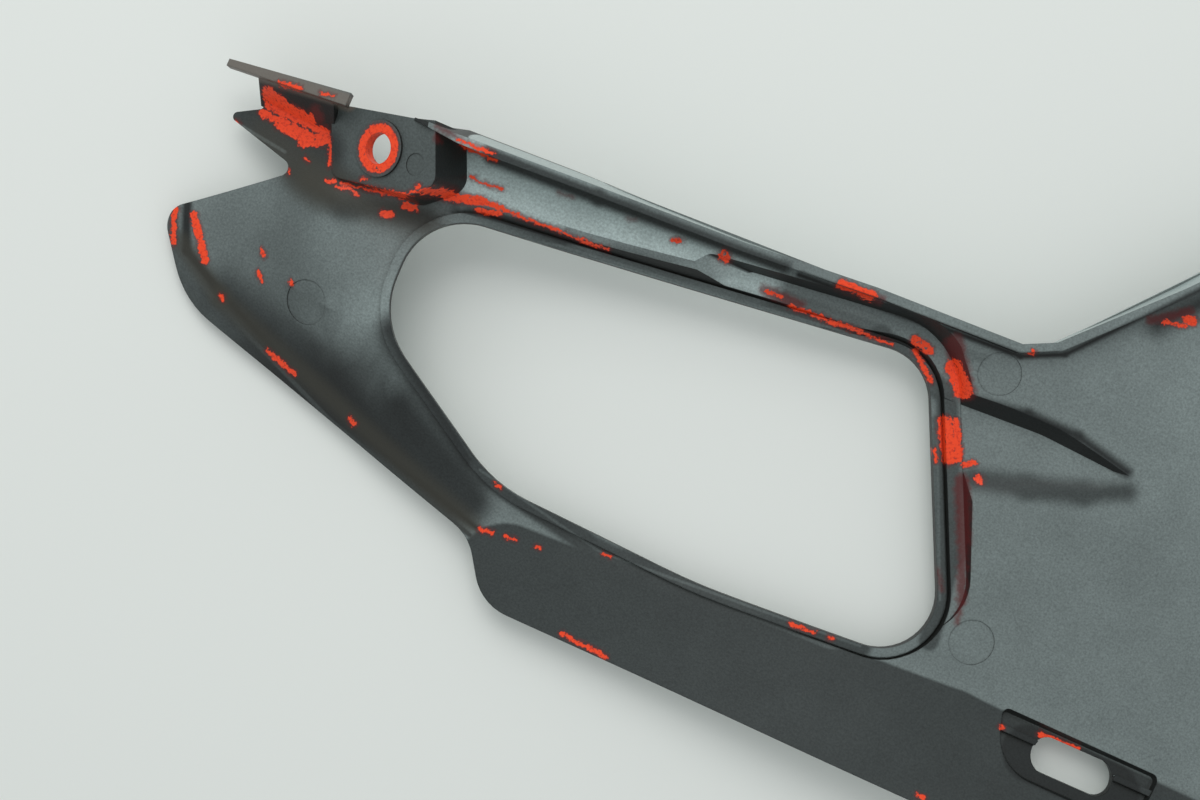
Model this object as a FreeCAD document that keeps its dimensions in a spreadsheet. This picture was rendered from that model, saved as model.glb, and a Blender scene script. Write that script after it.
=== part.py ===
import FreeCAD, Part
import math
import os
from FreeCAD import Placement, Rotation, Vector

# Lower fairing panel of a motorbike: one moulded shell, seen from its inside, lying outer face down.
# X runs along the panel from the nose to the tail, Y from the lower edge to the flange, Z up.
# The shell is what lies below its inner face and above its outer face, as between core and cavity.

doc = FreeCAD.newDocument("FairingPanel")
sheet = doc.addObject("Spreadsheet::Sheet", "Dimensions")
next_row = 1


def size(alias, value, note):
    """Write one driving dimension into the sheet."""
    global next_row
    sheet.set(f"A{next_row}", note)
    sheet.set(f"B{next_row}", str(value))
    sheet.setAlias(f"B{next_row}", alias)
    next_row += 1


# General sizes, in millimetres and degrees
size("wall", 2.8, "wall thickness of the shell")
size("edge_reach", 14, "how far the surfaces run past the trimmed outline")
size("floor_level", -45, "underside of the working solids")
size("roof_level", 95, "top of the working solids")

# Section stations along the panel and the feature lines they carry, each as place in Y and height in Z
LINES = ("edge", "ridge", "low", "high", "bend", "top")
SECTIONS = {
    "nose": (-152, (3, 4.6), (9.5, 6.6), (20, 6), (30, 5.8), (34, 5.9), (60, 7)),
    "prong": (-120, (-26, 5.4), (-19, 9.4), (-4, 12.4), (22, 14.8), (30, 14.8), (60, 15.5)),
    "arm": (-93, (-35, 4.6), (-29.3, 9.4), (-8, 21.5), (24, 25.5), (30, 24.5), (62, 24.5)),
    "bow": (-68, (-44, 4.6), (-37, 9.4), (-10, 29.5), (31, 24.3), (37.5, 28), (64, 28)),
    "junction": (-25, (-68, 8), (-50, 9), (-31, 12.5), (39, 17), (42.5, 23), (68, 23)),
    "middle": (45, (-71, 12), (-44.3, 9.2), (-35.5, 6.2), (48.5, 13), (54, 22), (75, 22.5)),
    "shoulder": (118, (-71, 19), (-36, 10), (-26, 11.2), (56, 21), (63, 21.8), (140, 31)),
    "flank": (215, (-71, 22), (-35, 6.5), (-20, 7.3), (60, 11.5), (75, 12.3), (145, 16)),
    "tail": (312, (-71, 20.5), (-35, 2.8), (-20, 2.8), (60, 2.8), (75, 2.8), (145, 2.8)),
}
for station, (place, *marks) in SECTIONS.items():
    size(f"{station}_x", place, f"{station} section, place along the panel")
    for line, (across, height) in zip(LINES, marks):
        size(f"{station}_{line}_y", across, f"{station} section, {line} line, place across")
        size(f"{station}_{line}_z", height, f"{station} section, {line} line, height of the inner face")

# How softly the face turns at each feature line: reach of the round to each side
size("ridge_round", 2.5, "round along the ridge and the crease")
size("low_round", 13, "round along the arm's crest and the lower lip")
size("high_round", 1.5, "round along the upper lip")
size("bend_round", 1.5, "round along the channel's edge")

# Outline of the panel in plan
size("nose_x_end", -147.6, "left end of the arm")
size("tail_x_end", 305, "right end of the tail")
size("lower_edge_y", -72.2, "lower edge of the strip")
size("brow_y", 136, "upper edge of the tail")
size("flange_y_left", 52.7, "top edge beside the pad")
size("flange_y_valley", 66.5, "top edge at the valley")
size("flange_x_left", -82.5, "left end of the top edge")
size("flange_x_knee", -68, "bend of the top edge past the pad, along")
size("flange_y_knee", 56, "bend of the top edge past the pad, across")
size("flange_x_middle", -30, "bend of the top edge, along")
size("flange_y_middle", 59.4, "bend of the top edge, across")
size("valley_x", 114, "valley of the top edge")
size("brow_x", 172, "upper end of the slanting top edge")
size("valley_radius", 13, "round of the valley")
size("junction_radius", 16, "rounds where the arm meets the strip")
size("arm_corner_radius", 7, "round at the arm's free corner")
size("notch_radius", 2.6, "round inside the notch")
size("tail_radius", 28, "rounds of the tail")

# Window and its stepped surround
size("lip_width", 2.8, "width of the raised lip round the window")
size("lip_rise", 1.2, "height of the lip above the face behind it")
size("window_top_left_y", 31, "window, upper left corner")
size("window_left_x", -71, "window, left side")
size("window_right_top_x", 86.9, "window, upper right corner, along")
size("window_right_top_y", 52.2, "window, upper right corner, across")
size("window_right_low_x", 129.6, "window, lower right corner, along")
size("window_right_low_y", -34, "window, lower right corner, across")
size("window_corner_radius", 17, "right corners of the window")
size("band_z_left", 16.5, "height of the band at its left end")
size("band_z_corner", 14, "height of the band at the upper right corner")
size("band_z_low", 11.5, "height of the band at its lower end")
size("band_top", 10, "width from the window to the band's outer side, top")
size("band_right", 8.6, "width from the window to the band's outer side, right")
size("band_draft", 26, "slope of the band's outer wall from upright")
size("lip_z_left", 13, "height of the lip's seat where the band begins")
size("lip_z_corner", 11, "height of the lip's seat at the upper right corner")
size("lip_z_low", 8.5, "height of the lip's seat at the lower right corner")

# Flange along the top edge
size("flange_z_left", 42, "top of the flange beside the pad")
size("flange_z_valley", 25.5, "top of the flange at the valley")
size("flange_z_brow", 36, "top of the flange at the brow")
size("flange_lean", 3.4, "how far the flange leans in over its height at the left")

# Screw pad
size("pad_length", 32, "pad along its slope, in plan")
size("pad_width", 24, "pad across its slope")
size("pad_slope", 31, "fall of the pad toward the nose")
size("pad_z_low", 23.6, "height of the pad's low side")
size("pad_root_z", 3, "level the pad's walls are drawn from")
size("pad_draft", 28, "slope of the pad's side walls from upright")
size("pad_x", -99.1, "pad, low corner, along")
size("pad_y", 26.6, "pad, low corner, across")
size("screw_along", 15.1, "screw hole from the pad's low side")
size("screw_across", 9.2, "screw hole from the pad's inner side")
size("screw_hole_radius", 4.6, "screw hole in the pad")
size("screw_seat_radius", 8.4, "raised seat round the screw hole")
size("screw_seat_rise", 0.8, "height of the raised seat")

# Wedge beside the band
size("wedge_x", 101, "wide end of the wedge, along")
size("wedge_top_y", 46, "upper side of the wedge, across")
size("wedge_tip_x", 158, "tip of the wedge, along")
size("wedge_z", 14, "floor of the wedge at its wide end")
size("wedge_tip_z", 16.2, "floor of the wedge at its tip")

# Ejector pin marks
size("pin_radius", 6.5, "radius of the larger pin marks")
size("pin_depth", 0.3, "depth of the pin marks")

# Hooked end bar
size("bar_width", 4, "thickness of the end bar")
size("bar_depth", 5, "height of the end bar")
size("bar_overhang", 11.4, "length of the bar past its wall")
size("bar_wall_z_left", 20, "top of the bar's wall at the left")
size("bar_wall_z_right", 33.5, "top of the bar's wall at the pad")

# Slot near the lower edge
size("slot_x", 178, "middle of the slot, along")
size("slot_y", -44, "middle of the slot, across")
size("slot_length", 27, "length of the slot")
size("slot_width", 11, "width of the slot")
size("pocket_length", 52, "length of the pocket round the slot")
size("pocket_top_y", -38.2, "upper side of the pocket, across")
size("pocket_low_y", -55, "lower side of the pocket, across")
size("pocket_z_left", 8.3, "floor of the pocket, upper left")
size("pocket_z_right", 6.4, "floor of the pocket, upper right")
size("pocket_z_low", 13.4, "floor of the pocket, lower side")
size("rib_width", 2, "width of the ribs beside the slot")
size("rib_rise", 1.3, "height of the ribs beside the slot")
doc.recompute()


def get(alias):
    """Read one dimension from the sheet."""
    return float(sheet.get(alias))


wall = get("wall")
floor_level = get("floor_level")
roof_level = get("roof_level")
# Photographed view direction: the pad and its screw face this way in plan
VIEW_TURN = math.radians(24)
ALONG_PAD = Vector(math.cos(VIEW_TURN), math.sin(VIEW_TURN), 0)
ACROSS_PAD = Vector(-math.sin(VIEW_TURN), math.cos(VIEW_TURN), 0)


def feature(name, shape):
    """Add a shape that is made by code to the document."""
    made = doc.addObject("Part::Feature", name)
    made.Shape = shape
    return made


def boolean(kind, name, first, second):
    """Add a boolean of two document objects."""
    made = doc.addObject(kind, name)
    made.Base = first
    made.Tool = second
    return made


def fuse(name, pieces):
    """Add one union of several document objects."""
    made = doc.addObject("Part::MultiFuse", name)
    made.Shapes = pieces
    return made


def rounded_wire(corners, level):
    """Make a closed wire in plan from corners given as x, y and radius."""
    edges = []
    starts = []
    ends = []
    count = len(corners)
    for index, (x, y, radius) in enumerate(corners):
        here = Vector(x, y, level)
        before = Vector(corners[index - 1][0], corners[index - 1][1], level)
        after = Vector(corners[(index + 1) % count][0], corners[(index + 1) % count][1], level)
        to_before = (before - here).normalize()
        to_after = (after - here).normalize()
        half = to_before.getAngle(to_after) / 2
        run = radius / math.tan(half)
        start = here + to_before * run
        end = here + to_after * run
        middle = (to_before + to_after).normalize()
        crown = here + middle * (radius / math.sin(half) - radius)
        edges.append(Part.Arc(start, crown, end).toShape())
        starts.append(start)
        ends.append(end)
    sides = []
    for index in range(count):
        sides.append(edges[index])
        sides.append(Part.LineSegment(ends[index], starts[(index + 1) % count]).toShape())
    return Part.Wire(Part.__sortEdges__(sides))


def prism(corners, margin):
    """Make an upright prism on a rounded outline, short of the working levels by a margin."""
    height = roof_level - floor_level - margin * 2
    return Part.Face(rounded_wire(corners, floor_level + margin)).extrude(Vector(0, 0, height))


def spread(corners, reaches):
    """Move each side of a counterclockwise outline outward; side i leaves corner i."""
    count = len(corners)
    moved = []
    for index in range(count):
        x, y, radius = corners[index]
        before = Vector(x - corners[index - 1][0], y - corners[index - 1][1], 0).normalize()
        follower = corners[(index + 1) % count]
        after = Vector(follower[0] - x, follower[1] - y, 0).normalize()
        out_before = Vector(before.y, -before.x, 0)
        out_after = Vector(after.y, -after.x, 0)
        reach_before = reaches[index - 1]
        reach_after = reaches[index]
        cross = out_before.x * out_after.y - out_before.y * out_after.x
        shift_x = (reach_before * out_after.y - reach_after * out_before.y) / cross
        shift_y = (reach_after * out_before.x - reach_before * out_after.x) / cross
        moved.append((x + shift_x, y + shift_y, max(radius + min(reach_before, reach_after), 0.5)))
    return moved


def plane_placement(spots):
    """Give the placement that lays the plan's ground plane through three spots without turning it."""
    first, second, third = spots
    normal = (second - first).cross(third - first)
    if normal.z < 0:
        normal = normal * -1
    turn = Rotation(Vector(0, 0, 1), normal.normalize())
    drop = first.z + (normal.x * first.x + normal.y * first.y) / normal.z
    return Placement(Vector(0, 0, drop), turn)


def tub(corners, drafts, height, spots, sink):
    """Make a drafted tub with its floor through three spots, lowered by sink."""
    upper = spread(corners, [height * draft for draft in drafts])
    solid = Part.makeLoft([rounded_wire(corners, 0), rounded_wire(upper, height)], True, True)
    solid.Placement = plane_placement([spot - Vector(0, 0, sink) for spot in spots])
    return solid


def thick_line(points, distance):
    """Offset an open polyline of Y, Z points to its right-hand side by a distance."""
    directions = []
    for first, second in zip(points, points[1:]):
        length = math.hypot(second[0] - first[0], second[1] - first[1])
        directions.append(((second[0] - first[0]) / length, (second[1] - first[1]) / length))
    directions = [directions[0]] + directions + [directions[-1]]
    moved = []
    for (y, z), before, after in zip(points, directions, directions[1:]):
        normal_y = before[1] + after[1]
        normal_z = -before[0] - after[0]
        length = math.hypot(normal_y, normal_z)
        share = distance / (length / 2) / length
        moved.append((y + normal_y * share, z + normal_z * share))
    return moved


def section_points(station):
    """Give the inner face of a section from past the lower edge to the top line."""
    points = [(get(f"{station}_{line}_y"), get(f"{station}_{line}_z")) for line in LINES]
    (edge_y, edge_z), (ridge_y, ridge_z) = points[:2]
    length = math.hypot(edge_y - ridge_y, edge_z - ridge_z)
    share = get("edge_reach") / length
    outer = (edge_y + (edge_y - ridge_y) * share, edge_z + (edge_z - ridge_z) * share)
    return [outer] + points[1:]


def even_slopes(places, values):
    """Give a slope at each place that keeps the curve between its neighbouring values."""
    steps = []
    for index in range(len(places) - 1):
        steps.append((values[index + 1] - values[index]) / (places[index + 1] - places[index]))
    slopes = [steps[0]]
    for before, after in zip(steps, steps[1:]):
        if before * after <= 0:
            slopes.append(0)
        else:
            slopes.append(2 * before * after / (before + after))
    return slopes + [steps[-1]]


def run_poles(spots):
    """Give the poles of a smooth run along X through spots without overshoot."""
    places = [spot.x for spot in spots]
    y_slopes = even_slopes(places, [spot.y for spot in spots])
    z_slopes = even_slopes(places, [spot.z for spot in spots])
    tangents = [Vector(1, y_slope, z_slope) for y_slope, z_slope in zip(y_slopes, z_slopes)]
    poles = [spots[0]]
    for index in range(len(spots) - 1):
        third = (places[index + 1] - places[index]) / 3
        poles.append(spots[index] + tangents[index] * third)
        poles.append(spots[index + 1] - tangents[index + 1] * third)
    return poles + [spots[-1]]


def softened(points):
    """Replace every inner corner by points beside it, so that the face turns in steps."""
    soft = [points[0]]
    for line, before, here, after in zip(LINES[1:], points, points[1:], points[2:]):
        beside = []
        for there in (before, after):
            gap = math.hypot(there[0] - here[0], there[1] - here[1])
            share = min(get(f"{line}_round") / gap, 0.4)
            beside.append((here[0] + (there[0] - here[0]) * share, here[1] + (there[1] - here[1]) * share))
        soft.append(beside[0])
        if line == "low":
            trio = zip(beside[0], here, beside[1])
            soft.append(tuple((first + 2 * corner + last) / 4 for first, corner, last in trio))
        soft.append(beside[1])
    return soft + [points[-1]]


def skin_solid(level, offset):
    """Make the solid between the sections' face, lowered by offset, and a level."""
    places = [get(f"{station}_x") for station in SECTIONS]
    sections = [section_points(station) for station in SECTIONS]
    runs = []
    for marks in zip(*sections):
        runs.append(run_poles([Vector(place, y, z) for place, (y, z) in zip(places, marks)]))
    grid = []
    for row in zip(*runs):
        points = [(pole.y, pole.z) for pole in row]
        if offset:
            points = thick_line(points, offset)
        points = softened(points)
        points = points + [(points[-1][0], level), (points[0][0], level)]
        grid.append([Vector(row[0].x, y, z) for y, z in points])
    repeats = [4] + [2] * (len(places) - 2) + [4]
    curves = []
    for poles in zip(*grid):
        curve = Part.BSplineCurve()
        curve.buildFromPolesMultsKnots(list(poles), repeats, places, False, 3)
        curves.append(curve.toShape())
    faces = [Part.makeRuledSurface(first, second) for first, second in zip(curves, curves[1:] + curves[:1])]
    for end in (0, -1):
        faces.append(Part.Face(Part.makePolygon(grid[end] + grid[end][:1])))
    skin = Part.makeShell(faces)
    skin.sewShape()
    solid = Part.Solid(skin)
    if solid.Volume < 0:
        skin.reverse()
        solid = Part.Solid(skin)
    return solid


# Main surfaces: everything below the inner face, and everything below the outer face
below_inner = feature("BelowInner", skin_solid(floor_level, 0))
below_outer = feature("BelowOuter", skin_solid(floor_level - wall, wall))

# Window outline, counterclockwise from the upper left
window_corners = [
    (get("window_left_x"), get("window_top_left_y"), 20),
    (get("window_left_x") + 1.5, -5, 26),
    (-19.5, -36.8, 45),
    (50, -39.8, 200),
    (get("window_right_low_x"), get("window_right_low_y"), get("window_corner_radius")),
    (get("window_right_top_x"), get("window_right_top_y"), get("window_corner_radius")),
]
lip_corners = spread(window_corners, [get("lip_width")] * len(window_corners))

# Band tub, cut into the panel along the top and the right side of the window
right_top = Vector(get("window_right_top_x"), get("window_right_top_y"), 0)
right_low = Vector(get("window_right_low_x"), get("window_right_low_y"), 0)
band_corners = [
    (17, 42.8, 3),
    (-17, 0, 3),
    (right_low.x, right_low.y, get("window_corner_radius")),
    (right_top.x, right_top.y, get("window_corner_radius")),
]
band_corners = spread(band_corners, [0, 0.6, get("band_right"), get("band_top")])
band_spots = [
    Vector(25, 52, get("band_z_left")),
    Vector(97, 50, get("band_z_corner")),
    Vector(128, -17, get("band_z_low")),
]
band_slope = math.tan(math.radians(get("band_draft")))
band_drafts = [2, 0, band_slope, band_slope * 0.6]
band_inner = feature("BandInner", tub(band_corners, band_drafts, 40, band_spots, 0))
band_outer_corners = spread(band_corners, [wall] * 4)
band_outer = feature("BandOuter", tub(band_outer_corners, band_drafts, 40, band_spots, wall))

# Lip seat, one step lower than the band
seat_corners = [
    (45, 42, 3),
    (45, -40.2, 3),
    (right_low.x, right_low.y, get("window_corner_radius")),
    (right_top.x, right_top.y, get("window_corner_radius")),
]
seat_gap = get("lip_width") + 0.6
seat_corners = spread(seat_corners, [0, seat_gap, seat_gap, seat_gap])
seat_spots = [
    Vector(45, 51, get("lip_z_left")),
    Vector(90, 52, get("lip_z_corner")),
    Vector(122, -13, get("lip_z_low")),
]
seat_drafts = [0, 0, 0.1, 0.7]
seat_inner = feature("SeatInner", tub(seat_corners, seat_drafts, 20, seat_spots, 0))
seat_outer_corners = spread(seat_corners, [wall] * 4)
seat_outer = feature("SeatOuter", tub(seat_outer_corners, seat_drafts, 20, seat_spots, wall))

# Wedge: a shallow sunk shelf that opens into the band and runs out to a tip
wedge_corners = [
    (get("wedge_x") - 9, get("wedge_top_y") - 2.9, 1),
    (get("wedge_x") + 2, get("wedge_top_y") - 23.4, 1),
    (get("wedge_tip_x"), get("wedge_top_y") - 2.6, 1.5),
    (get("wedge_x") + 26, get("wedge_top_y") - 0.9, 40),
]
wedge_spots = [
    Vector(get("wedge_x"), get("wedge_top_y"), get("wedge_z")),
    Vector(get("wedge_x") + 10, get("wedge_top_y") - 20, get("wedge_z") - 0.7),
    Vector(get("wedge_tip_x"), get("wedge_top_y") - 3, get("wedge_tip_z")),
]
wedge_drafts = [0.1, 2.6, 0.9, 0.8]
wedge_inner = feature("WedgeInner", tub(wedge_corners, wedge_drafts, 22, wedge_spots, 0))
wedge_outer_corners = spread(wedge_corners, [wall] * 4)
wedge_outer = feature("WedgeOuter", tub(wedge_outer_corners, wedge_drafts, 22, wedge_spots, wall))

# Pocket round the slot, below the crease
slot_x = get("slot_x")
pocket_half = get("pocket_length") / 2
pocket_corners = [
    (slot_x - pocket_half, get("pocket_top_y"), 1.5),
    (slot_x - pocket_half + 3.5, get("pocket_low_y"), 13),
    (slot_x + pocket_half - 3.5, get("pocket_low_y"), 13),
    (slot_x + pocket_half, get("pocket_top_y"), 1.5),
]
pocket_spots = [
    Vector(slot_x - pocket_half, get("pocket_top_y"), get("pocket_z_left")),
    Vector(slot_x + pocket_half, get("pocket_top_y"), get("pocket_z_right")),
    Vector(slot_x, get("pocket_low_y"), get("pocket_z_low")),
]
pocket_drafts = [0.4, 0.6, 0.4, 0.3]
pocket_inner = feature("PocketInner", tub(pocket_corners, pocket_drafts, 20, pocket_spots, 0))
pocket_outer_corners = spread(pocket_corners, [wall] * 4)
pocket_outer = feature("PocketOuter", tub(pocket_outer_corners, pocket_drafts, 20, pocket_spots, wall))


def rib_solid(start, end):
    """Make a low rib on the pocket's floor, between two places along the slot's axis."""
    half = get("rib_width") / 2
    middle = get("slot_y")
    corners = [(start, middle + half, 0.7), (start, middle - half, 0.7),
               (end, middle - half, 0.7), (end, middle + half, 0.7)]
    solid = Part.Face(rounded_wire(corners, 0)).extrude(Vector(0, 0, wall / 2 + get("rib_rise")))
    solid.Placement = plane_placement([spot - Vector(0, 0, wall / 2) for spot in pocket_spots])
    return solid


rib_reach = get("slot_length") / 2 - 0.5
rib_left = feature("RibLeft", rib_solid(slot_x - pocket_half - 0.5, slot_x - rib_reach))
rib_right = feature("RibRight", rib_solid(slot_x + rib_reach, slot_x + pocket_half + 0.5))

# Screw pad: a raised plateau that falls toward the nose
pad_origin = Vector(get("pad_x"), get("pad_y"), 0)


def pad_solid(inset, sink):
    """Make the region under the pad's face, with its side walls drawn in and its face lowered."""
    length = get("pad_length")
    width = get("pad_width")
    plan = [(0, 3.4), (length * 0.74, -4.6), (length, -2.5), (length, width), (0, width)]
    corners = []
    for along, across in plan:
        spot = pad_origin + ALONG_PAD * along + ACROSS_PAD * across
        corners.append((spot.x, spot.y, 3.5))
    draft = math.tan(math.radians(get("pad_draft")))
    crest = get("pad_z_low") + length * math.tan(math.radians(get("pad_slope")))
    root = get("pad_root_z")
    corners = spread(corners, [-inset] * 5)
    base = spread(corners, [(crest - root) * draft * share for share in (0.12, 0.3, 1, 0.05, 0.05)])
    solid = Part.makeLoft([rounded_wire(base, root), rounded_wire(corners, crest + 1)], True, True)
    cutter = Part.makeBox(400, 400, 200, Vector(-200, -200, 0))
    tilt = Rotation(ACROSS_PAD, -get("pad_slope"))
    cutter.Placement = Placement(pad_origin + Vector(0, 0, get("pad_z_low") - sink), tilt)
    return solid.cut(cutter)


pad_face = feature("PadFace", pad_solid(0, 0))
pad_hollow = feature("PadHollow", pad_solid(wall, wall))

# Inner and outer sides with the tubs sunk and the pad raised
inner_sunk = boolean("Part::Cut", "InnerWithBand", below_inner, band_inner)
inner_seat = boolean("Part::Cut", "InnerWithSeat", inner_sunk, seat_inner)
inner_wedge = boolean("Part::Cut", "InnerWithWedge", inner_seat, wedge_inner)
inner_pocket = boolean("Part::Cut", "InnerWithPocket", inner_wedge, pocket_inner)
inner_side = fuse("InnerSide", [inner_pocket, pad_face])
outer_sunk = boolean("Part::Cut", "OuterWithBand", below_outer, band_outer)
outer_seat = boolean("Part::Cut", "OuterWithSeat", outer_sunk, seat_outer)
outer_wedge = boolean("Part::Cut", "OuterWithWedge", outer_seat, wedge_outer)
outer_pocket = boolean("Part::Cut", "OuterWithPocket", outer_wedge, pocket_outer)
outer_side = fuse("OuterSide", [outer_pocket, pad_hollow])

# Outline in plan, counterclockwise from the arm's free corner
outline_corners = [
    (get("nose_x_end"), -1.4, get("arm_corner_radius")),
    (-131, -24, 30),
    (-20, -54.5, get("junction_radius")),
    (-8, get("lower_edge_y"), get("junction_radius")),
    (get("tail_x_end"), get("lower_edge_y"), get("tail_radius")),
    (get("tail_x_end") - 12, get("brow_y"), get("tail_radius")),
    (get("brow_x"), get("brow_y"), get("tail_radius")),
    (get("valley_x"), get("flange_y_valley"), get("valley_radius")),
    (get("flange_x_middle"), get("flange_y_middle"), 60),
    (get("flange_x_knee"), get("flange_y_knee"), 10),
    (get("flange_x_left"), get("flange_y_left"), 0.8),
    (-107, 48.9, 1),
    (-132, 47, 0.6),
    (-130, 39.5, 1.5),
    (-141, 33.7, 1.5),
    (-111.5, 26.2, get("notch_radius")),
]
outline = feature("Outline", prism(outline_corners, 4))
trimmed = boolean("Part::Common", "TrimmedBlock", inner_side, outline)
shell = boolean("Part::Cut", "Shell", trimmed, outer_side)


# Flange: a wall along the top edge, leaning in at the left
def flange_solid():
    """Loft the flange through its stations along the top edge."""
    left = Vector(get("flange_x_left"), get("flange_y_left"), 0)
    knee = Vector(get("flange_x_knee"), get("flange_y_knee"), 0)
    middle = Vector(get("flange_x_middle"), get("flange_y_middle"), 0)
    valley = Vector(get("valley_x"), get("flange_y_valley"), 0)
    brow = Vector(get("brow_x"), get("brow_y"), 0)
    along_left = (knee - left).normalize()
    along_knee = (middle - knee).normalize()
    along_middle = (valley - middle).normalize()
    along_right = (brow - valley).normalize()
    half = (along_middle * -1).getAngle(along_right) / 2
    run = get("valley_radius") / math.tan(half)
    reach = (brow - valley).Length
    lean = get("flange_lean")
    z_left = get("flange_z_left")
    z_valley = get("flange_z_valley")
    z_brow = get("flange_z_brow")
    stations = [
        (left + along_left * 0.3, along_left, 0, z_left - 2.4),
        (left + along_left * 5, along_left, lean * 0.35, z_left + 1.5),
        (knee, along_knee, lean * 0.97, z_left + 0.4),
        (knee + along_knee * 13, along_knee, lean, z_left - 2.2),
        (middle, along_middle, lean, z_left - 7.8),
        (middle + along_middle * 50, along_middle, lean * 0.7, z_left - 13.6),
        (middle + along_middle * 92, along_middle, 0, z_left - 15.6),
        (valley - along_middle * run, along_middle, 0, z_valley),
        (valley + along_right * run, along_right, 0, z_valley + 0.7),
        (valley + along_right * (reach * 0.5), along_right, lean * 0.7, (z_valley + z_brow) / 2),
        (valley + along_right * (reach - get("tail_radius") * 0.6), along_right, lean * 0.7, z_brow),
    ]
    wires = []
    thin_start = [0.3, 0.55, 0.9]
    for number, (foot, along, inward, top) in enumerate(stations):
        thick = wall * (thin_start[number] if number < 3 else 1)
        inside = Vector(along.y, -along.x, 0)
        base = top - 18
        outer_foot = Vector(foot.x, foot.y, base) - inside * (inward * 0.45 + 0.35)
        outer_top = Vector(foot.x, foot.y, top) + inside * (inward * 0.85 - 0.2)
        quad = [outer_foot, outer_foot + inside * wall, outer_top + inside * thick, outer_top]
        wires.append(Part.makePolygon(quad + quad[:1]))
    return Part.makeLoft(wires, True, True)


flange_blank = feature("FlangeBlank", flange_solid())
flange = boolean("Part::Cut", "Flange", flange_blank, outer_seat)


# Hooked end bar on its own wall, beyond the pad
def bar_solid():
    """Make the wall behind the ledge and the bar along its top."""
    left = Vector(-131, 36.1, 2)
    right = Vector(-104, 34.6, 13)
    left_top = Vector(-133.5, 48.2, get("bar_wall_z_left"))
    wall_end = Vector(-107.4, 49.9, get("bar_wall_z_right") - 2.1)
    right_top_edge = Vector(-102.5, 50.2, get("bar_wall_z_right"))
    back = Vector(0, wall, 0)
    wires = []
    for low, high in ((left, left_top), (right, wall_end)):
        quad = [low, low + back, high + back * 0.6, high - back * 0.4]
        wires.append(Part.makePolygon(quad + quad[:1]))
    web = Part.makeLoft(wires, True, True)
    run = (right_top_edge - left_top).normalize()
    depth = Vector(0, 0, get("bar_depth"))
    wires = []
    for spot, share in ((left_top - run * get("bar_overhang"), 0.55), (right_top_edge, 1)):
        half = Vector(0, get("bar_width") / 2 * share, 0)
        quad = [spot - half, spot + half, spot + half + depth, spot - half + depth]
        wires.append(Part.makePolygon([corner - depth * 0.3 for corner in quad + quad[:1]]))
    bar = Part.makeLoft(wires, True, True)
    return web.fuse(bar)


bar_blank = feature("BarBlank", bar_solid())
end_bar = boolean("Part::Cut", "EndBar", bar_blank, outer_seat)

# Raised lip round the window
ring = feature("LipRing", prism(lip_corners, 6))
lip_cover = feature("LipCover", Part.Shape())
doc.recompute()
raised = inner_seat.Shape.copy()
raised.translate(Vector(0, 0, get("lip_rise")))
lip_cover.Shape = raised
lip_column = boolean("Part::Common", "LipColumn", ring, lip_cover)
lip = boolean("Part::Cut", "Lip", lip_column, outer_seat)

# Raised seat round the screw hole, square to the pad's face
tilt = Rotation(ACROSS_PAD, -get("pad_slope"))
pad_middle = pad_origin + ALONG_PAD * get("screw_along") + ACROSS_PAD * get("screw_across")
pad_middle.z = get("pad_z_low") + get("screw_along") * math.tan(math.radians(get("pad_slope")))
pad_normal = tilt.multVec(Vector(0, 0, 1))
screw_seat = doc.addObject("Part::Cylinder", "ScrewSeat")
screw_seat.setExpression("Radius", "Dimensions.screw_seat_radius")
screw_seat.setExpression("Height", "Dimensions.screw_seat_rise + Dimensions.wall / 2")
screw_seat.Placement = Placement(pad_middle - pad_normal * (wall / 2), tilt)
screw_hole = doc.addObject("Part::Cylinder", "ScrewHole")
screw_hole.setExpression("Radius", "Dimensions.screw_hole_radius")
screw_hole.setExpression("Height", "Dimensions.wall * 6")
screw_hole.Placement = Placement(pad_middle - pad_normal * (wall * 3), tilt)

# Window and slot openings
window = feature("Window", prism(window_corners, 2))
slot_half = get("slot_length") / 2
slot_side = get("slot_width") / 2
slot_round = slot_side * 0.98
slot_corners = [
    (get("slot_x") - slot_half, get("slot_y") - slot_side, slot_round),
    (get("slot_x") + slot_half, get("slot_y") - slot_side, slot_round),
    (get("slot_x") + slot_half, get("slot_y") + slot_side, slot_round),
    (get("slot_x") - slot_half, get("slot_y") + slot_side, slot_round),
]
slot = feature("Slot", prism(slot_corners, 3))

# Marks of the ejector pins, a hair deep and level with the face round them
pin_spots = [
    (106.6, 56, get("pin_radius"), 0),
    (134, -21.5, get("pin_radius") + 0.5, 0),
    (-93.5, -9.4, get("pin_radius") + 0.3, 24),
    (-76, 40.9, get("pin_radius") / 2, get("pad_slope")),
]
pins = []
for number, (x, y, radius, fall) in enumerate(pin_spots):
    pin = doc.addObject("Part::Cylinder", f"Pin{number + 1}")
    pin.Radius = radius
    pin.Height = 24
    turned = Rotation(ACROSS_PAD, -fall)
    level = [21, 12, 21.5, 38][number]
    pin.Placement = Placement(Vector(x, y, level) - turned.multVec(Vector(0, 0, 12)), turned)
    pins.append(pin)
pin_group = fuse("Pins", pins)
pin_floor = feature("PinFloor", Part.Shape())
doc.recompute()
lowered = inner_side.Shape.copy()
lowered.translate(Vector(0, 0, -get("pin_depth")))
pin_floor.Shape = lowered
pin_marks = boolean("Part::Cut", "PinMarks", pin_group, pin_floor)

solid_panel = fuse("SolidPanel", [shell, flange, end_bar, lip, screw_seat, rib_left, rib_right])
openings = fuse("Openings", [window, slot, screw_hole])
opened = boolean("Part::Cut", "OpenedPanel", solid_panel, openings)
marked = boolean("Part::Cut", "MarkedPanel", opened, pin_marks)
doc.recompute()

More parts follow.
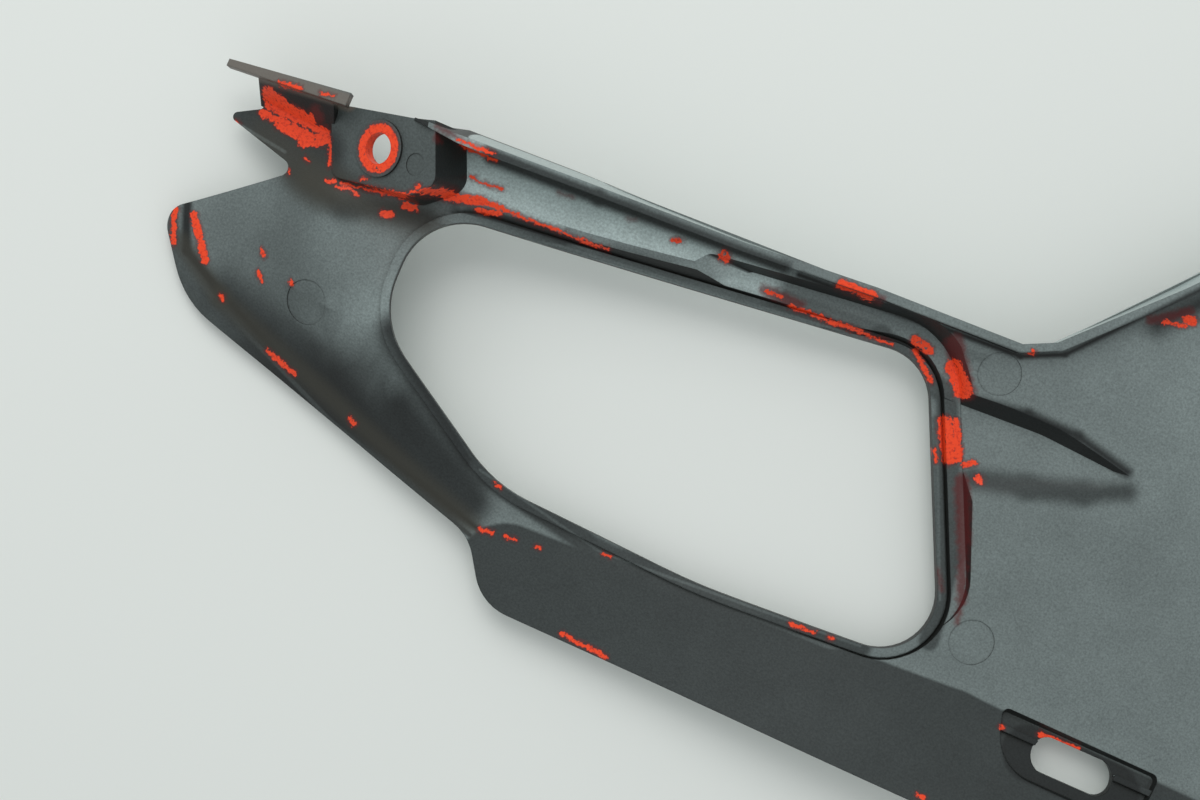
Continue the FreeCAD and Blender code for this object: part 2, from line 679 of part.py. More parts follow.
# The finished panel, standing on its lowest points with its origin under the middle of its box
panel = feature("FairingPanel", marked.Shape.copy())
panel.Label = "fairing_panel"
box = panel.Shape.optimalBoundingBox(False, False)
panel.Placement = Placement(Vector(-box.Center.x, -box.Center.y, -box.ZMin), Rotation())
doc.recompute()

for item in doc.Objects:
    if "Invalid" in item.State or "Error" in item.State:
        raise RuntimeError(f"{item.Name} failed: {item.State}")
if panel.Shape.isNull() or not panel.Shape.isValid():
    raise RuntimeError("the panel's shape is not valid")
if len(panel.Shape.Solids) != 1:
    raise RuntimeError(f"the panel has {len(panel.Shape.Solids)} solids")

os.makedirs("parts", exist_ok=True)
panel.Shape.exportStep(f"parts/{panel.Label}.step")
print(panel.Label, "volume", round(panel.Shape.Volume), "shift", panel.Placement.Base, "box", box)
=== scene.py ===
import math

import bpy
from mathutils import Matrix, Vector
from mathutils.bvhtree import BVHTree

# Looks of the lower fairing panel: worn satin overspray on the inside of a red moulding,
# lying on a pale table. Lengths are in metres, and strokes on the coat are in plan in millimetres.

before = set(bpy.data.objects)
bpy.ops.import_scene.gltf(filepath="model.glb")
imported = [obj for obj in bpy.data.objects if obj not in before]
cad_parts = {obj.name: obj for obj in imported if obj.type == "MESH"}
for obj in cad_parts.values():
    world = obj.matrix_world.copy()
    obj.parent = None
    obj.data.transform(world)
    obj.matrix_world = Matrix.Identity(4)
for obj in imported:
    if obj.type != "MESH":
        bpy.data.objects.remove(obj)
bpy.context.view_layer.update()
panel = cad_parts["fairing_panel"]

# The photo looks straight down, with its right side turned this far from the panel's long axis
VIEW_TURN = math.radians(24)
PHOTO_RIGHT = Vector((math.cos(VIEW_TURN), math.sin(VIEW_TURN), 0))
PHOTO_UP = Vector((-math.sin(VIEW_TURN), math.cos(VIEW_TURN), 0))
VIEW_SPOT = Vector((-0.07922, -0.0319, 0))
VIEW_HEIGHT = 0.53965
VIEW_EYE = VIEW_SPOT + Vector((0, 0, VIEW_HEIGHT))
LENS_MM = 51.84
SENSOR_MM = 36
PHOTO_WIDTH = 1200
PHOTO_HEIGHT = 800
FOCAL_PIXELS = LENS_MM / SENSOR_MM * PHOTO_WIDTH
MM_A_METRE = 1000.0
# Level of the window's lip, for a mark that falls just beside it
LIP_LEVEL = 0.012

# Table and light
TABLE_SIZE = 6
TABLE_LEVEL = -0.0003
TABLE_COLOUR = (0.785, 0.815, 0.775)
TABLE_ROUGHNESS = 0.6
LAMP_PLACE = VIEW_SPOT + PHOTO_UP * 0.9 - PHOTO_RIGHT * 0.1 + Vector((0, 0, 1.1))
LAMP_SIZE = 1.0
LAMP_POWER = 8
ROOM_COLOUR = (0.95, 0.98, 1, 1)
ROOM_STRENGTH = 0.64

# Edges of the shading
WELD_REACH = 0.00002
CREASE_ANGLE = math.radians(27)
EDGE_ROUND = 0.0006

# Brightness of the coat on the main face, on steep faces, which are painted dark as shade, and on the smooth
# outer face
MAIN_TONE = 0.19
STEEP_SHADE_TONE = 0.014
OUTER_TONE = 0.4
# Upward part of the normal at which overspray and painted light begin to lie; steeper faces fall to the
# painted shade
LEVEL_FROM = 0.74
# Red and blue of the coat's grey as shares of its green
RED_SHARE = 0.83
BLUE_SHARE = 0.97

COAT_ROUGHNESS = 0.46
RED_ROUGHNESS = 0.4
OUTER_ROUGHNESS = 0.25
SPECULAR_LEVEL = 0.28
GRAIN_STRENGTH = 0.25
GRAIN_DEPTH = 0.0003

BAR_COLOUR = (0.17, 0.14, 0.115, 1)
OLIVE_DARK_COLOUR = (0.048, 0.046, 0.034, 1)
CORNER_DUST_AND_SHADE_COLOUR = (0.03, 0.026, 0.018, 1)
TINT_COLOUR = (0.11, 0.011, 0.011, 1)
RED_COLOUR = (0.92, 0.068, 0.016, 1)
SCUFFED_RED = (0.6, 0.034, 0.012, 1)

# Strongest cover of the brown on the bar, the dust and painted shade in corners, the red tint and the halo
# round worn places
BAR_SHARE = 0.7
CORNER_DUST_AND_SHADE_SHARE = 0.6
TINT_SHARE = 0.75
HALO_SHARE = 0.55
# Reach of the corner dust and painted shade in metres, and of the halo and the ragged edges in millimetres
CORNER_DUST_AND_SHADE_REACH = 0.007
HALO_REACH = 1.3
RAGGED_REACH = 2.8
RING_RAGGED_REACH = 1.4

# Noise scales, in features a millimetre
CLOUD_SCALE = 0.06
GRAIN_SCALE = 1.5
WANDER_SCALE = 0.5
SCUFF_SCALE = 1.1
FLECK_SCALE = 0.45

# Worn ring round the screw hole, in millimetres
SCREW_MIDDLE = (-168.27, 9.25, 32.32)
SCREW_AXIS = (-0.47051, -0.20948, 0.85717)
RING_RADIUS = 7.2
RING_DEPTH = 2.5

# Top of the end bar: plan stroke and half width
BAR_TOP = (-221.6, 15.5, -182.8, 18.0, 2.0)

# Places where the coat is worn through to the red, measured in the photo:
# start x and y, end x and y and half width in its pixels
RED_MARKS = {
    # arm
    "arm_rim": (175, 209, 173, 243, 3),
    "arm_ridge": (194, 215, 205, 260, 3.5),
    "arm_dot": (222, 296, 223, 299, 2.5),
    "arm_stripe": (268, 351, 294, 374, 2.5),
    "arm_rim_dot": (350, 419, 354, 424, 2.5),
    "arm_fleck_upper": (262, 250, 264, 256, 1.5),
    "arm_fleck_left": (258, 272, 261, 281, 1.5),
    "arm_fleck_right": (290, 282, 292, 284, 1.5),
    # wall, ledge and prong beside the end bar
    "web_left": (268.4, 96.0, 282.0, 105.6, 7.2),
    "web_middle": (278.8, 104.8, 310.7, 121.5, 5.4),
    "web_right": (304.3, 120.7, 326.6, 133.0, 3.2),
    "web_foot": (267.6, 106.4, 326.6, 133.5, 2.55),
    "ledge_left": (262.8, 112.8, 282.0, 123.1, 3.5),
    "ledge_middle": (280.4, 123.1, 310.7, 139.1, 6.7),
    "ledge_right": (304.3, 140.7, 325.0, 139.1, 6.7),
    "bar_left": (278.8, 83.3, 301.1, 87.7, 1.6),
    "bar_right": (321.0, 93.2, 333.0, 96.0, 1.1),
    "prong_tip": (236.5, 121.5, 238.9, 126.3, 1.43),
    "notch_dot": (288.0, 171.0, 288.7, 172.2, 1.3),
    "neck_fleck": (304.3, 157.4, 308.3, 161.1, 1.1),
    # edges and face of the pad
    "pad_left": (329.5, 136.7, 330.1, 166.2, 1.43),
    "pad_foot_left": (327.4, 180.5, 333.0, 181.5, 2.1),
    "pad_foot_middle": (336.2, 186.1, 352.1, 189.3, 1.3),
    "pad_foot_right": (351.3, 190.9, 356.9, 195.7, 1.1),
    "pad_lower_edge": (341.0, 183.4, 403.1, 194.9, 1.3),
    "pad_lower_corner": (403.9, 195.2, 419.1, 190.9, 1.1),
    "pad_fleck": (360.9, 179.2, 367.3, 178.3, 0.95),
    "pad_corner_dot": (416.2, 186.9, 419.1, 185.6, 1.9),
    "shell_dot_right": (405.5, 205.7, 415.1, 208.9, 3.5),
    "shell_dot_left": (382.4, 213.4, 391.2, 214.0, 3.0),
    # channel and flange
    "flange_left": (457.3, 139.0, 493.0, 153.9, 1.5),
    "streak_left": (470.6, 177.1, 484.7, 183.7, 1.15),
    "streak_right": (484.7, 183.7, 501.2, 188.7, 1.5),
    "channel_edge_1": (420.0, 191.2, 453.2, 192.9, 1.65),
    "channel_edge_2": (444.9, 195.3, 483.0, 200.8, 4.15),
    "channel_edge_3": (483.0, 201.1, 502.9, 209.1, 2.5),
    "channel_edge_4": (502.9, 209.4, 556.0, 230.2, 1.33),
    "channel_edge_5": (556.0, 230.2, 609.0, 250.1, 1.0),
    "below_edge": (477.2, 210.8, 499.6, 213.6, 2.15),
    "channel_dot": (673.7, 240.1, 680.0, 240.6, 2.3),
    "channel_blot": (724, 255, 726, 258, 5),
    "flange_top": (842, 283, 874, 296, 4),
    # band, lip and wall at the right of the window
    "band_left": (766, 291, 782, 297, 1.5),
    "band_middle": (790, 306, 868, 335, 2),
    "band_right": (870, 337, 892, 344, 1.2),
    "corner_upper": (915.3, 339.9, 930.2, 350.7, 4.2),
    "corner_middle": (915.3, 351.4, 921.0, 362.1, 2.5),
    "corner_lower": (921.4, 362.9, 931.2, 380.7, 2.5),
    "wall": (952.6, 366.3, 963.1, 392.2, 6.9),
    "patch_left": (945.5, 422.8, 950.1, 458.6, 6.5),
    "patch_right": (955.9, 421.8, 958.9, 458.6, 3.45),
    "patch_tail": (965.0, 464.9, 974.2, 463.2, 2.5),
    "wedge_dot": (978.1, 478.8, 979.6, 479.6, 3.8),
    "lip_upper": (913.4, 373.0, 918.2, 380.1, 1.35),
    "lip_lower": (934.1, 448.6, 936.0, 460.7, 1.55),
    "valley_dot": (1029.3, 352.6, 1033.9, 353.3, 1.55),
    # tail, strip and lower lip
    "tail_dot": (1186, 319, 1194, 321, 4),
    "tail_streak": (1164, 322, 1186, 326, 1.5),
    "lower_edge": (562, 634, 606, 657, 2),
    "chip_left": (480, 529, 492, 533, 2),
    "chip_middle": (506, 537, 516, 540, 1.5),
    "chip_right": (536, 547, 539, 548, 1.5),
    "lower_lip_1": (496, 484, 500, 487, 1.5),
    "lower_lip_2": (604, 554, 610, 557, 1.5),
    "lower_lip_3": (790, 624, 814, 632, 1.5),
    "lower_lip_4": (829, 637, 832, 638, 2),
    "low_chip": (918, 795, 924, 798, 2),
    "strip_dot": (1000, 727, 1003, 728, 1.5),
}
# Worn upper edge of the slot, set on the model: plan stroke and half width
SLOT_MARK = (86.4, -70.9, 98.8, -70.4, 0.80)

# Places where only a dark red tint shows through, measured in the same way
TINT_MARKS = {
    "wall_upper": (955.5, 341.5, 967.0, 393.1, 8.0),
    "flange_left": (436.6, 126.5, 469.7, 143.9, 2.65),
    "pad_corner": (437.4, 135.6, 437.9, 139.8, 3.65),
    "channel_left": (557.6, 193.2, 572.5, 197.8, 1.8),
    "channel_right": (627.3, 218.6, 635.6, 219.7, 1.33),
    "bar_pin": (315.4, 112.0, 318.6, 116.7, 6.4),
    "band_left": (765, 290, 800, 305, 6),
    "lip_right": (938, 570, 942, 590, 2),
    "flange_top": (840, 284, 880, 300, 4),
    "tail": (1150, 320, 1190, 312, 5),
}
# Tint down the band's right wall, set on the model: plan stroke and half width
WALL_TINTS = [
    (31.4, -9.5, 39.6, -26.1, 2.10),
    (39.6, -26.1, 46.6, -43.0, 1.60),
    (46.6, -43.0, 48.0, -49.5, 0.80),
]

# Brightness of the level faces, partly overspray and partly painted light and shade: plan stroke, half width,
# softness and brightness
OVERSPRAY_LIGHT_AND_SHADE_STROKES = [
    # brighter main face towards the top edge
    (95.0, 42.0, 140.0, 32.0, 30.0, 30.0, 0.235),
    # arm: painted highlight along the crest, painted shade on the lower side
    (-205.0, -34.0, -165.0, -42.0, 12.0, 9.0, 0.155),
    (-161.8, -45.7, -149.4, -30.7, 6.0, 7.0, 0.26),
    (-198.0, -48.5, -155.8, -63.5, 6.4, 7.0, 0.035),
    (-155.8, -63.5, -108.8, -79.0, 7.5, 6.5, 0.03),
    (-133.1, -59.2, -103.2, -76.1, 6.5, 5.0, 0.03),
    # painted shade along the lower side of the window
    (-143.0, -38.0, -104.0, -66.3, 5.0, 3.5, 0.03),
    (-104.0, -66.3, -60.2, -74.6, 3.6, 1.2, 0.05),
    (-60.2, -74.6, 24.3, -68.4, 3.6, 1.2, 0.055),
    # right lip of the window
    (17.4, 4.4, 41.0, -45.5, 1.6, 0.8, 0.1),
    # strip along the lower edge, with a crisp crease above it
    (-84.0, -93.0, 26.0, -88.5, 16.0, 0.7, 0.048),
    (26.0, -88.5, 60.0, -86.3, 18.2, 0.6, 0.048),
    (60.0, -86.3, 250.0, -89.9, 18.0, 0.6, 0.048),
    # painted shade in the recess of the slot
    (84.0, -77.5, 114.0, -77.5, 8.0, 0.8, 0.022),
    # band round the window, painted darker as shade from its walls
    (-53.0, 17.3, -9.3, 20.5, 3.4, 1.0, 0.13),
    (-9.3, 20.5, 15.2, 12.8, 3.4, 1.0, 0.085),
    (18.2, 9.8, 38.6, -32.9, 3.2, 1.0, 0.075),
    (38.6, -32.9, 42.9, -58.3, 3.0, 1.0, 0.07),
    # channel: painted sheen on its floor, painted shade along its upper side under the flange
    (-141.0, 15.5, -101.6, 17.4, 8.0, 3.0, 0.5),
    (-101.6, 17.4, -49.6, 21.8, 6.0, 3.0, 0.5),
    (-138.0, 20.4, -104.0, 22.8, 1.9, 1.5, 0.045),
    (-104.0, 22.8, -45.0, 26.6, 1.9, 1.5, 0.045),
    # painted shade on the prong, the neck and the foot of the pad
    (-212.2, 3.4, -186.0, 2.0, 7.5, 3.0, 0.045),
    (-190.4, -4.8, -173.1, -7.8, 6.0, 4.0, 0.045),
    (-172.5, -9.2, -149.0, -3.5, 3.5, 3.0, 0.045),
    # painted shade on both sides of the wedge
    (34.0, -7.8, 50.0, -3.4, 3.3, 2.7, 0.055),
    (50.0, -3.4, 66.0, 1.8, 3.6, 2.7, 0.055),
    (66.0, 1.8, 78.0, 7.6, 3.0, 2.7, 0.06),
    (24.2, 13.8, 40.3, 16.5, 1.5, 1.6, 0.02),
    (40.3, 16.5, 56.8, 16.6, 1.6, 1.6, 0.02),
    (56.8, 16.6, 75.5, 13.0, 1.5, 1.6, 0.022),
    # painted shadow along the foot of the flange and below its right end
    (-40.0, 26.6, 30.6, 31.3, 0.8, 0.8, 0.015),
    (30.6, 31.3, 42.6, 37.2, 0.8, 0.8, 0.018),
    (42.6, 37.2, 95.6, 101.8, 0.8, 0.9, 0.02),
    (64.0, 56.5, 92.0, 90.0, 3.0, 4.0, 0.03),
]

# Olive darkening in low places: plan stroke, half width, softness and strength
OLIVE_DARK_STROKES = [
    (-205.0, 0.5, -180.0, -7.0, 6.0, 5.0, 0.55),
    (-186.0, -7.5, -148.0, -5.5, 5.0, 5.0, 0.6),
    (-217.0, -40.0, -198.6, -50.5, 3.0, 2.0, 0.6),
    (-198.6, -50.5, -100.0, -83.0, 3.0, 2.5, 0.6),
]

# The flange's outer face along the top edge: plan stroke and half width
FLANGE_PATH = [
    (-143.0, 23.3, -104.8, 26.2, 2.2),
    (-104.8, 26.2, -41.7, 29.8, 1.8),
    (-41.7, 29.8, 34.8, 34.6, 1.6),
    (34.8, 34.6, 92.8, 104.1, 2.6),
]

# Painted shade in grooves and painted highlights along edges of slanted faces: plan stroke, half width,
# softness and brightness
RIM_SHADE_AND_HIGHLIGHT_STROKES = [
    # painted shade in the groove and painted highlight on the rim along the arm's outer edge
    (-219.8, -28.5, -214.6, -41.5, 1.5, 1.0, 0.016),
    (-214.6, -41.5, -198.6, -49.4, 1.4, 1.0, 0.016),
    (-198.6, -49.4, -151.8, -68.7, 0.9, 0.9, 0.016),
    (-151.8, -68.7, -98.1, -83.2, 0.8, 0.9, 0.016),
    (-223.6, -29.5, -218.1, -42.9, 0.8, 0.4, 0.085),
    (-218.1, -42.9, -199.9, -52.0, 0.8, 0.4, 0.075),
    (-199.9, -52.0, -152.9, -71.5, 0.7, 0.4, 0.055),
    (-152.9, -71.5, -98.9, -86.1, 0.7, 0.4, 0.05),
    # painted highlight on the prong's edge
    (-214.5, 0.2, -197.2, -2.0, 0.5, 0.3, 0.15),
    # thin painted highlights along the window lip, darker on its lower left
    (17.4, 4.4, 41.0, -45.5, 0.4, 0.3, 0.12),
    (-146.8, -4.4, -109.1, 5.6, 0.4, 0.3, 0.12),
    (-109.1, 5.6, -8.3, 18.7, 0.4, 0.3, 0.13),
    (-142.4, -39.9, -104.0, -66.3, 0.4, 0.3, 0.045),
    (-104.0, -66.3, -60.2, -74.6, 0.4, 0.3, 0.09),
    (-60.2, -74.6, 24.3, -68.4, 0.4, 0.3, 0.1),
]


def smooth_shading(node):
    """Shade the panel's faces smoothly and keep its real edges crisp."""
    bpy.context.view_layer.objects.active = node
    node.select_set(True)
    bpy.ops.mesh.customdata_custom_splitnormals_clear()
    node.data.polygons.foreach_set("use_smooth", [True] * len(node.data.polygons))
    weld = node.modifiers.new("weld", "WELD")
    weld.merge_threshold = WELD_REACH
    split = node.modifiers.new("edges", "EDGE_SPLIT")
    split.split_angle = CREASE_ANGLE
    split.use_edge_sharp = False
    normals = node.modifiers.new("normals", "WEIGHTED_NORMAL")
    normals.keep_sharp = True


class Graph:
    """A short way to add nodes to one material."""

    def __init__(self, tree):
        self.tree = tree

    def put(self, kind, values=None, **settings):
        """Add a node, with its settings and its input values or links."""
        node = self.tree.nodes.new(kind)
        for name, value in settings.items():
            setattr(node, name, value)
        for key, value in (values or {}).items():
            if isinstance(value, bpy.types.NodeSocket):
                self.tree.links.new(value, node.inputs[key])
            else:
                node.inputs[key].default_value = value
        return node

    def math(self, operation, first, second=0.0, third=0.0, clamp=False):
        values = {0: first, 1: second, 2: third}
        return self.put("ShaderNodeMath", values, operation=operation, use_clamp=clamp).outputs[0]

    def vector(self, operation, first, second=(0, 0, 0)):
        node = self.put("ShaderNodeVectorMath", {0: first, 1: second}, operation=operation)
        scalar = operation in ("DOT_PRODUCT", "DISTANCE", "LENGTH")
        return node.outputs["Value" if scalar else "Vector"]

    def scaled(self, vector, factor):
        node = self.put("ShaderNodeVectorMath", {0: vector, "Scale": factor}, operation="SCALE")
        return node.outputs["Vector"]

    def ramp(self, value, low, high, at_low, at_high):
        """Go smoothly from one value at low to another at high."""
        values = {0: value, 1: low, 2: high, 3: at_low, 4: at_high}
        node = self.put("ShaderNodeMapRange", values, interpolation_type="SMOOTHSTEP", clamp=False)
        return node.outputs[0]

    def step(self, value, low, high):
        """Rise smoothly from 0 at low to 1 at high."""
        return self.ramp(value, low, high, 0.0, 1.0)

    def fall(self, value, low, high):
        """Fall smoothly from 1 at low to 0 at high."""
        return self.ramp(value, low, high, 1.0, 0.0)

    def mix(self, share, first, second):
        """Mix two numbers."""
        return self.put("ShaderNodeMix", {0: share, 2: first, 3: second}, data_type="FLOAT").outputs[0]

    def blend(self, share, first, second):
        """Mix two colours."""
        return self.put("ShaderNodeMix", {0: share, 6: first, 7: second}, data_type="RGBA").outputs[2]

    def noise(self, place, scale, detail=2.0, rough=0.5, output=0):
        values = {"Vector": place, "Scale": scale, "Detail": detail, "Roughness": rough}
        return self.put("ShaderNodeTexNoise", values).outputs[output]

    def stroke(self, plan, mark):
        """Distance in plan from the edge of a mark, negative inside it."""
        start_x, start_y, end_x, end_y, half_width = mark
        along = Vector((end_x - start_x, end_y - start_y, 0))
        offset = self.vector("SUBTRACT", plan, (start_x, start_y, 0))
        share = self.vector("DOT_PRODUCT", offset, tuple(along / along.length_squared))
        # Plain minimum and maximum, because a clamped node is worked out late and fills the shader's memory
        share = self.math("MINIMUM", self.math("MAXIMUM", share, 0.0), 1.0)
        nearest = self.scaled(tuple(along), share)
        return self.math("SUBTRACT", self.vector("DISTANCE", offset, nearest), half_width)

    def soft_stroke(self, plan, mark, softness):
        """Share of a mark with a soft edge, 1 inside it."""
        return self.fall(self.stroke(plan, mark), -softness, softness)

    def nearest_stroke(self, plan, marks):
        """Distance in plan from the nearest of several marks."""
        best = None
        for mark in marks:
            away = self.stroke(plan, mark)
            best = away if best is None else self.math("MINIMUM", best, away)
        return best


def plain_material(name, colour, roughness):
    """Make a material of one colour."""
    material = bpy.data.materials.new(name)
    material.use_nodes = True
    shader = material.node_tree.nodes["Principled BSDF"]
    shader.inputs["Base Color"].default_value = (*colour, 1)
    shader.inputs["Roughness"].default_value = roughness
    return material


def photo_ray(x, y):
    """Way from the camera through a pixel of the photo, for one metre of depth."""
    across = PHOTO_RIGHT * ((x - PHOTO_WIDTH / 2) / FOCAL_PIXELS)
    along = PHOTO_UP * ((PHOTO_HEIGHT / 2 - y) / FOCAL_PIXELS)
    return across + along - Vector((0, 0, 1))


def plan_strokes(marks):
    """Carry marks from the photo's pixels onto the panel, as plan strokes and half widths."""
    mesh = panel.data
    corners = [vertex.co for vertex in mesh.vertices]
    surface = BVHTree.FromPolygons(corners, [list(face.vertices) for face in mesh.polygons])
    strokes = []
    for start_x, start_y, end_x, end_y, half_width in marks.values():
        rays = (photo_ray(start_x, start_y), photo_ray(end_x, end_y))
        hits = [surface.ray_cast(VIEW_EYE, ray)[0] for ray in rays]
        # An end that falls beside the panel is taken at the level of the other end
        level = next((hit.z for hit in hits if hit is not None), LIP_LEVEL)
        missed = [VIEW_EYE + ray * (VIEW_HEIGHT - level) for ray in rays]
        start, end = [beside if hit is None else hit for hit, beside in zip(hits, missed)]
        depth = VIEW_HEIGHT - (start.z + end.z) / 2
        stroke = (start.x, start.y, end.x, end.y, half_width / FOCAL_PIXELS * depth)
        strokes.append([value * MM_A_METRE for value in stroke])
    return strokes


def coat_tone(graph, place, plan, upward):
    """Brightness of the coat: overspray and painted light on level faces, painted shade on steep ones,
    painted highlights and shade along rims, with its two noises.
    """
    # Level faces get the overspray and painted light, steep faces the painted shade tone
    level = graph.step(upward, LEVEL_FROM, 1.0)
    amount = MAIN_TONE
    # Overspray brightness with painted highlights, sheen and shade on the level faces
    for *mark, softness, brightness in OVERSPRAY_LIGHT_AND_SHADE_STROKES:
        amount = graph.mix(graph.soft_stroke(plan, mark, softness), amount, brightness)
    tone = graph.mix(level, STEEP_SHADE_TONE, amount)
    cloud = graph.noise(place, CLOUD_SCALE, 3.0)
    grain = graph.noise(place, GRAIN_SCALE, 2.0, 0.6)
    # Painted shade in grooves and painted highlights along edges
    for *mark, softness, brightness in RIM_SHADE_AND_HIGHLIGHT_STROKES:
        tone = graph.mix(graph.soft_stroke(plan, mark, softness), tone, brightness)
    tone = graph.math("MULTIPLY", tone, graph.math("MULTIPLY_ADD", grain, 1.0, 0.5))
    tone = graph.math("MULTIPLY", tone, graph.math("MULTIPLY_ADD", cloud, 0.4, 0.8))
    return tone, cloud, grain


def outer_face(graph, plan, facing, upward):
    """Share of the smooth lighter finish, on the flange's outer side and underneath."""
    flange = graph.nearest_stroke(plan, FLANGE_PATH)
    flange = graph.math("MULTIPLY", graph.fall(flange, -0.4, 0.4), graph.step(facing.outputs["Y"], 0.2, 0.4))
    under = graph.fall(upward, -0.2, 0.0)
    return graph.math("MAXIMUM", flange, under)


def coat_with_dust_and_shade(graph, plan, tone, cloud):
    """Colour of the coat, with brown on the end bar, olive darkening in low places, and dust with painted
    shade in corners.
    """
    less_red = graph.math("MULTIPLY", tone, RED_SHARE)
    less_blue = graph.math("MULTIPLY", tone, BLUE_SHARE)
    coat = graph.put("ShaderNodeCombineColor", {0: less_red, 1: tone, 2: less_blue}).outputs[0]
    bar = graph.soft_stroke(plan, BAR_TOP, 0.8)
    coat = graph.blend(graph.math("MULTIPLY", bar, BAR_SHARE), coat, BAR_COLOUR)
    for *mark, softness, strength in OLIVE_DARK_STROKES:
        share = graph.soft_stroke(plan, mark, softness)
        coat = graph.blend(graph.math("MULTIPLY", share, strength), coat, OLIVE_DARK_COLOUR)
    # Dust with painted shade, darker where corners hide the surface
    corner = graph.put("ShaderNodeAmbientOcclusion", {"Distance": CORNER_DUST_AND_SHADE_REACH}, only_local=True, samples=3)
    corner_dust_and_shade = graph.fall(corner.outputs["AO"], 0.25, 0.85)
    corner_dust_and_shade = graph.math("MULTIPLY", corner_dust_and_shade, graph.math("MULTIPLY_ADD", cloud, 0.8, 0.1), clamp=True)
    return graph.blend(graph.math("MULTIPLY", corner_dust_and_shade, CORNER_DUST_AND_SHADE_SHARE), coat, CORNER_DUST_AND_SHADE_COLOUR)


def worn_ring(graph, place, wander):
    """Distance from the edge of the worn ring round the screw hole, negative inside it."""
    from_screw = graph.vector("SUBTRACT", place, SCREW_MIDDLE)
    rise = graph.vector("DOT_PRODUCT", from_screw, SCREW_AXIS)
    across = graph.vector("SUBTRACT", from_screw, graph.scaled(SCREW_AXIS, rise))
    across = graph.vector("ADD", across, graph.vector("MULTIPLY", wander, (RING_RAGGED_REACH,) * 3))
    ring = graph.math("SUBTRACT", graph.vector("LENGTH", across), RING_RADIUS)
    return graph.math("MAXIMUM", ring, graph.math("SUBTRACT", graph.math("ABSOLUTE", rise), RING_DEPTH))


def worn_colour(graph, place, plan, upward, coat):
    """Colour of the coat with red where it is worn through, and the share of that red."""
    wander = graph.noise(place, WANDER_SCALE, 4.0, 0.6, output=1)
    wander = graph.vector("SUBTRACT", wander, (0.5, 0.5, 0.5))
    ragged = graph.vector("ADD", plan, graph.vector("MULTIPLY", wander, (RAGGED_REACH, RAGGED_REACH, 0)))
    worn = graph.nearest_stroke(ragged, plan_strokes(RED_MARKS) + [SLOT_MARK])
    worn = graph.math("MINIMUM", worn, worn_ring(graph, place, wander))
    scuff = graph.noise(place, SCUFF_SCALE, 3.0, 0.55)
    worn = graph.math("ADD", worn, graph.math("MULTIPLY_ADD", scuff, 1.4, -0.7))
    flecks = graph.fall(graph.noise(place, FLECK_SCALE, 3.0, 0.6), 0.64, 0.7)
    seen = graph.step(upward, -0.1, 0.1)
    red = graph.math("MULTIPLY", graph.fall(worn, -0.2, 0.25), graph.math("MULTIPLY", flecks, seen))
    tint = graph.fall(graph.nearest_stroke(ragged, plan_strokes(TINT_MARKS) + WALL_TINTS), -1.2, 1.0)
    tint = graph.math("MULTIPLY", graph.math("MULTIPLY", tint, seen), TINT_SHARE)
    halo = graph.math("MULTIPLY", graph.fall(worn, 0.0, HALO_REACH), graph.math("MULTIPLY", seen, HALO_SHARE))
    tint = graph.math("MAXIMUM", tint, halo)
    colour = graph.blend(tint, coat, TINT_COLOUR)
    plastic = graph.blend(graph.step(scuff, 0.45, 0.75), RED_COLOUR, SCUFFED_RED)
    return graph.blend(red, colour, plastic), red


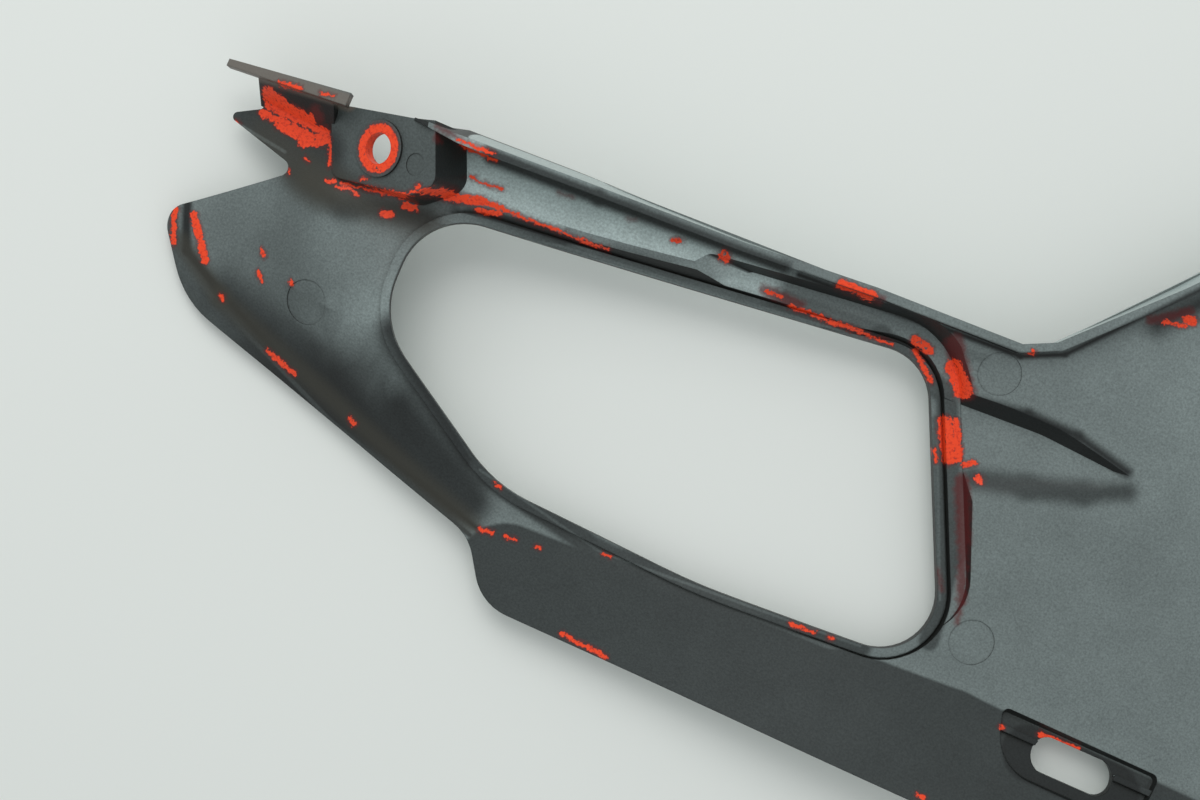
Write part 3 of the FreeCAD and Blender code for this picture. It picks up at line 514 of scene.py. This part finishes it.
def coat_material():
    """Make the dark satin coat with its worn marks."""
    material = bpy.data.materials.new("worn_coat")
    material.use_nodes = True
    graph = Graph(material.node_tree)
    shader = material.node_tree.nodes["Principled BSDF"]
    link = material.node_tree.links.new

    where = graph.put("ShaderNodeTexCoord")
    place = graph.scaled(where.outputs["Object"], MM_A_METRE)
    plan = graph.vector("MULTIPLY", place, (1, 1, 0))
    facing = graph.put("ShaderNodeSeparateXYZ", {0: where.outputs["Normal"]})
    upward = facing.outputs["Z"]

    tone, cloud, grain = coat_tone(graph, place, plan, upward)
    outer = outer_face(graph, plan, facing, upward)
    tone = graph.mix(outer, tone, OUTER_TONE)
    coat = coat_with_dust_and_shade(graph, plan, tone, cloud)
    colour, red = worn_colour(graph, place, plan, upward, coat)
    link(colour, shader.inputs["Base Color"])
    shader.inputs["Specular IOR Level"].default_value = SPECULAR_LEVEL
    shine = graph.mix(outer, graph.mix(red, COAT_ROUGHNESS, RED_ROUGHNESS), OUTER_ROUGHNESS)
    link(shine, shader.inputs["Roughness"])

    soft_edges = graph.put("ShaderNodeBevel", {"Radius": EDGE_ROUND}, samples=2).outputs[0]
    relief = {"Strength": GRAIN_STRENGTH, "Distance": GRAIN_DEPTH, "Height": grain, "Normal": soft_edges}
    link(graph.put("ShaderNodeBump", relief).outputs[0], shader.inputs["Normal"])
    return material


smooth_shading(panel)
panel.data.materials.clear()
panel.data.materials.append(coat_material())

# Table
bpy.ops.mesh.primitive_plane_add(size=TABLE_SIZE, location=(0, 0, TABLE_LEVEL))
table = bpy.context.object
table.name = "table"
table.data.materials.append(plain_material("table", TABLE_COLOUR, TABLE_ROUGHNESS))

# Soft lamp above the photo's top edge, and the room's light
lamp = bpy.data.lights.new("window_light", "AREA")
lamp.size = LAMP_SIZE
lamp.energy = LAMP_POWER
light = bpy.data.objects.new("window_light", lamp)
bpy.context.scene.collection.objects.link(light)
light.location = LAMP_PLACE
light.rotation_euler = (VIEW_SPOT - LAMP_PLACE).to_track_quat("-Z", "Y").to_euler()
world = bpy.data.worlds.new("room")
bpy.context.scene.world = world
world.use_nodes = True
background = world.node_tree.nodes["Background"]
background.inputs["Color"].default_value = ROOM_COLOUR
background.inputs["Strength"].default_value = ROOM_STRENGTH

# Camera at the photo's viewing angle
lens = bpy.data.cameras.new("camera")
camera = bpy.data.objects.new("camera", lens)
bpy.context.scene.collection.objects.link(camera)
camera.location = VIEW_EYE
camera.rotation_euler = (0, 0, VIEW_TURN)
lens.lens = LENS_MM
lens.sensor_width = SENSOR_MM
lens.clip_start = 0.01
bpy.context.scene.camera = camera
bpy.context.scene.view_settings.view_transform = "Standard"
